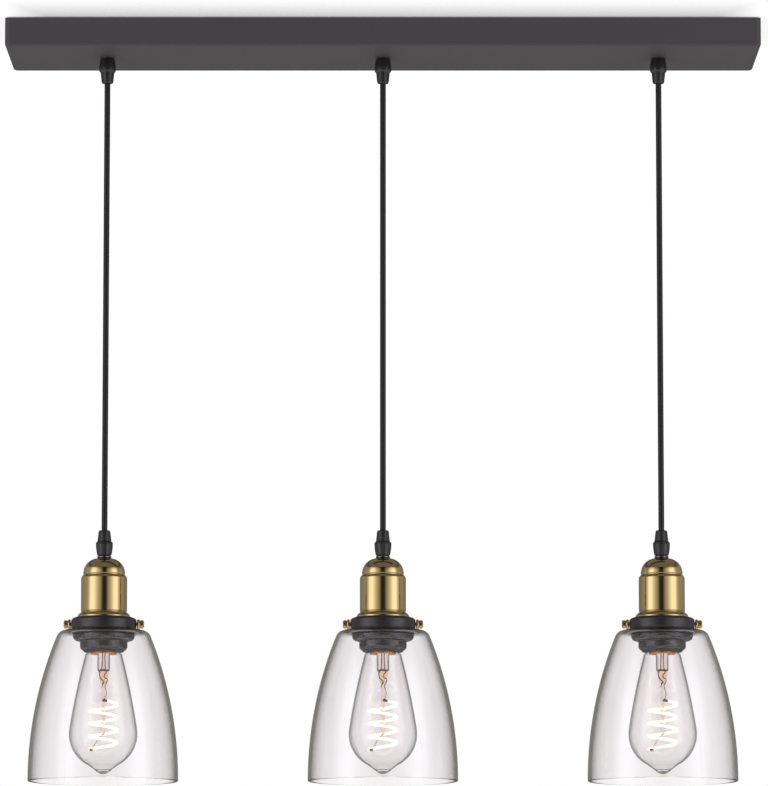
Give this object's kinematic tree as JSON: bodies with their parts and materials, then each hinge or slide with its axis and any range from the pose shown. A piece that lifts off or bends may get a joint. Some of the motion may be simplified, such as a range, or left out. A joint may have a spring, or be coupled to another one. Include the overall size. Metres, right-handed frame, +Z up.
{
  "type": "linear island pendant light",
  "caption": "Long dark steel ceiling canopy with clear bell glass shades hanging in a row on black cords from brass socket cups with filament bulbs.",
  "frame": {"origin": "on the ceiling, at the middle of the canopy and of the mounting bar's box slots", "axes": "+X along the canopy, +Y away from the viewer, +Z up into the ceiling"},
  "size_m": [0.7108, 0.1396, 0.7092],
  "materials": {
    "black_powder_coat": "matt powder coat",
    "zinc_steel": "zinc plated",
    "white_nylon": "moulded",
    "black_nylon": "moulded, slight sheen",
    "cord_jacket": "smooth vinyl jacket",
    "bright_nickel": "polished",
    "antique_brass": "brushed and lacquered",
    "dark_bronze": "turned, satin",
    "clear_glass": "clear, fire polished rim",
    "black_phenolic": "moulded",
    "contact_copper": "bright sheet",
    "bulb_clear": "clear",
    "bulb_base": "bright sheet",
    "filament": "glowing wire"
  },
  "bodies": {
    "canopy_assembly": {"canopy": "black_powder_coat", "mounting_bar": "zinc_steel", "bar_screws": "zinc_steel", "grip_nuts": "zinc_steel", "terminal_blocks": "white_nylon", "supply_wires": "cord_jacket", "upper_grip_body_1": "black_nylon", "upper_grip_cap_1": "black_nylon", "upper_grip_body_2": "black_nylon", "upper_grip_cap_2": "black_nylon", "upper_grip_body_3": "black_nylon", "upper_grip_cap_3": "black_nylon"},
    "cord_bend_1": {"grip_insert_1": "cord_jacket"},
    "pendant_1": {"cord_1": "cord_jacket", "lower_grip_cap_1": "black_nylon", "lower_grip_body_1": "black_nylon", "grip_washer_1": "bright_nickel", "socket_cup_1": "antique_brass", "shade_ring_1": "dark_bronze", "lampholder_1": "black_phenolic", "lamp_contacts_1": "contact_copper"},
    "left_screw_1": {"thumbscrew_left_1": "antique_brass"},
    "right_screw_1": {"thumbscrew_right_1": "antique_brass"},
    "shade_1": {"glass_shade_1": "clear_glass", "shade_collar_1": "dark_bronze"},
    "bulb_1": {"bulb_glass_1": "bulb_clear", "bulb_cap_1": "bulb_base", "bulb_filament_1": "filament"},
    "cord_bend_2": {"grip_insert_2": "cord_jacket"},
    "pendant_2": {"cord_2": "cord_jacket", "lower_grip_cap_2": "black_nylon", "lower_grip_body_2": "black_nylon", "grip_washer_2": "bright_nickel", "socket_cup_2": "antique_brass", "shade_ring_2": "dark_bronze", "lampholder_2": "black_phenolic", "lamp_contacts_2": "contact_copper"},
    "left_screw_2": {"thumbscrew_left_2": "antique_brass"},
    "right_screw_2": {"thumbscrew_right_2": "antique_brass"},
    "shade_2": {"glass_shade_2": "clear_glass", "shade_collar_2": "dark_bronze"},
    "bulb_2": {"bulb_glass_2": "bulb_clear", "bulb_cap_2": "bulb_base", "bulb_filament_2": "filament"},
    "cord_bend_3": {"grip_insert_3": "cord_jacket"},
    "pendant_3": {"cord_3": "cord_jacket", "lower_grip_cap_3": "black_nylon", "lower_grip_body_3": "black_nylon", "grip_washer_3": "bright_nickel", "socket_cup_3": "antique_brass", "shade_ring_3": "dark_bronze", "lampholder_3": "black_phenolic", "lamp_contacts_3": "contact_copper"},
    "left_screw_3": {"thumbscrew_left_3": "antique_brass"},
    "right_screw_3": {"thumbscrew_right_3": "antique_brass"},
    "shade_3": {"glass_shade_3": "clear_glass", "shade_collar_3": "dark_bronze"},
    "bulb_3": {"bulb_glass_3": "bulb_clear", "bulb_cap_3": "bulb_base", "bulb_filament_3": "filament"}
  },
  "joints": [
    {"name": "sway_1", "type": "hinge", "parent": "canopy_assembly", "child": "cord_bend_1", "pos_m": [-0.26, 0, -0.051], "axis": [0, 1, 0], "range_deg": [-5, 5]},
    {"name": "swing_1", "type": "hinge", "parent": "cord_bend_1", "child": "pendant_1", "pos_m": [-0.26, 0, -0.051], "axis": [1, 0, 0], "range_deg": [-25, 25]},
    {"name": "thumbscrew_left_1", "type": "slide", "parent": "pendant_1", "child": "left_screw_1", "axis": [-1, 0, 0], "range_m": [0, 0.003]},
    {"name": "thumbscrew_right_1", "type": "slide", "parent": "pendant_1", "child": "right_screw_1", "axis": [1, 0, 0], "range_m": [0, 0.003]},
    {"name": "shade_release_1", "type": "slide", "parent": "pendant_1", "child": "shade_1", "axis": [0, 0, -1], "range_m": [0, 0.012]},
    {"name": "bulb_unscrew_1", "type": "slide", "parent": "shade_1", "child": "bulb_1", "axis": [0, 0, -1], "range_m": [0, 0.026]},
    {"name": "sway_2", "type": "hinge", "parent": "canopy_assembly", "child": "cord_bend_2", "pos_m": [0, 0, -0.051], "axis": [0, 1, 0], "range_deg": [-5, 5]},
    {"name": "swing_2", "type": "hinge", "parent": "cord_bend_2", "child": "pendant_2", "pos_m": [0, 0, -0.051], "axis": [1, 0, 0], "range_deg": [-25, 25]},
    {"name": "thumbscrew_left_2", "type": "slide", "parent": "pendant_2", "child": "left_screw_2", "axis": [-1, 0, 0], "range_m": [0, 0.003]},
    {"name": "thumbscrew_right_2", "type": "slide", "parent": "pendant_2", "child": "right_screw_2", "axis": [1, 0, 0], "range_m": [0, 0.003]},
    {"name": "shade_release_2", "type": "slide", "parent": "pendant_2", "child": "shade_2", "axis": [0, 0, -1], "range_m": [0, 0.012]},
    {"name": "bulb_unscrew_2", "type": "slide", "parent": "shade_2", "child": "bulb_2", "axis": [0, 0, -1], "range_m": [0, 0.026]},
    {"name": "sway_3", "type": "hinge", "parent": "canopy_assembly", "child": "cord_bend_3", "pos_m": [0.26, 0, -0.051], "axis": [0, 1, 0], "range_deg": [-5, 5]},
    {"name": "swing_3", "type": "hinge", "parent": "cord_bend_3", "child": "pendant_3", "pos_m": [0.26, 0, -0.051], "axis": [1, 0, 0], "range_deg": [-25, 25]},
    {"name": "thumbscrew_left_3", "type": "slide", "parent": "pendant_3", "child": "left_screw_3", "axis": [-1, 0, 0], "range_m": [0, 0.003]},
    {"name": "thumbscrew_right_3", "type": "slide", "parent": "pendant_3", "child": "right_screw_3", "axis": [1, 0, 0], "range_m": [0, 0.003]},
    {"name": "shade_release_3", "type": "slide", "parent": "pendant_3", "child": "shade_3", "axis": [0, 0, -1], "range_m": [0, 0.012]},
    {"name": "bulb_unscrew_3", "type": "slide", "parent": "shade_3", "child": "bulb_3", "axis": [0, 0, -1], "range_m": [0, 0.026]}
  ]
}
